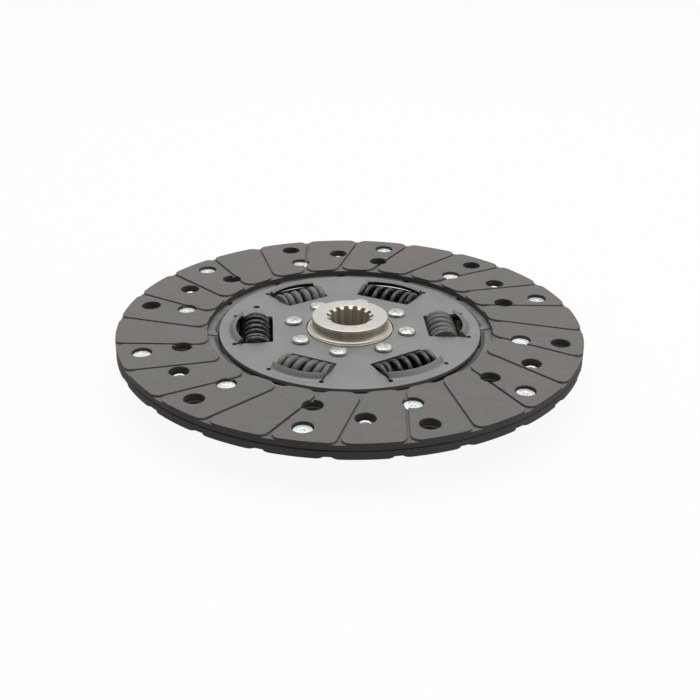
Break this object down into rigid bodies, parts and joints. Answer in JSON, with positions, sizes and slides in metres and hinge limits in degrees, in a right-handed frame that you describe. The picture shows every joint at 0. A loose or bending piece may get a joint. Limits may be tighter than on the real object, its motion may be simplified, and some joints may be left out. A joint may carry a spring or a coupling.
{
  "type": "clutch disc",
  "caption": "Clutch disc: splined hub with retainer plates that twists against coil springs inside a drive plate carrying riveted, grooved friction linings.",
  "frame": {"origin": "on the spline's axis, midway between the two friction linings", "axes": "+Z along the spline's axis, towards the side with the short end of the hub; +X through the middle of a short spring window"},
  "size_m": [0.2, 0.2, 0.025],
  "materials": {
    "lining": "moulded friction compound, matt, warm grey",
    "rivet_steel": "bright plated steel",
    "plate_steel": "grey phosphated steel, satin",
    "hub_steel": "turned steel, faces bright, sides dull",
    "friction_ring": "moulded friction ring, matt",
    "spring_sheet": "tempered spring sheet, grey",
    "coil_spring": "blackened spring wire, satin"
  },
  "bodies": {
    "hub_unit": {"hub": "hub_steel", "hub_rivets": "rivet_steel", "retainer_plate_upper": "plate_steel", "retainer_plate_lower": "plate_steel", "friction_ring_upper": "friction_ring", "friction_ring_lower": "friction_ring", "disc_spring": "spring_sheet"},
    "lining_carrier": {"drive_plate": "plate_steel", "cushion_segment_1": "spring_sheet", "cushion_segment_2": "spring_sheet", "cushion_segment_3": "spring_sheet", "cushion_segment_4": "spring_sheet", "cushion_segment_5": "spring_sheet", "cushion_segment_6": "spring_sheet", "segment_rivets": "rivet_steel", "friction_lining_upper": "lining", "friction_lining_lower": "lining", "lining_rivets_upper": "rivet_steel", "lining_rivets_lower": "rivet_steel"},
    "damper_springs": {"damper_spring_short_1": "coil_spring", "damper_spring_short_2": "coil_spring", "damper_spring_short_3": "coil_spring", "damper_spring_long_1": "coil_spring", "damper_spring_long_2": "coil_spring", "damper_spring_long_3": "coil_spring"}
  },
  "joints": [
    {"name": "damper_twist", "type": "hinge", "parent": "hub_unit", "child": "lining_carrier", "pos_m": [0, 0, 0], "axis": [0, 0, 1], "range_deg": [-5, 5], "stiffness_Nm_per_rad": 600, "deforming": ["damper_spring_short_1", "damper_spring_short_2", "damper_spring_short_3", "damper_spring_long_1", "damper_spring_long_2", "damper_spring_long_3"]},
    {"name": "spring_follow", "type": "hinge", "parent": "hub_unit", "child": "damper_springs", "pos_m": [0, 0, 0], "axis": [0, 0, 1], "range_deg": [-2.5, 2.5]}
  ],
  "couplings": [
    {"joint": "spring_follow", "follows": "damper_twist", "ratio": 0.5}
  ]
}
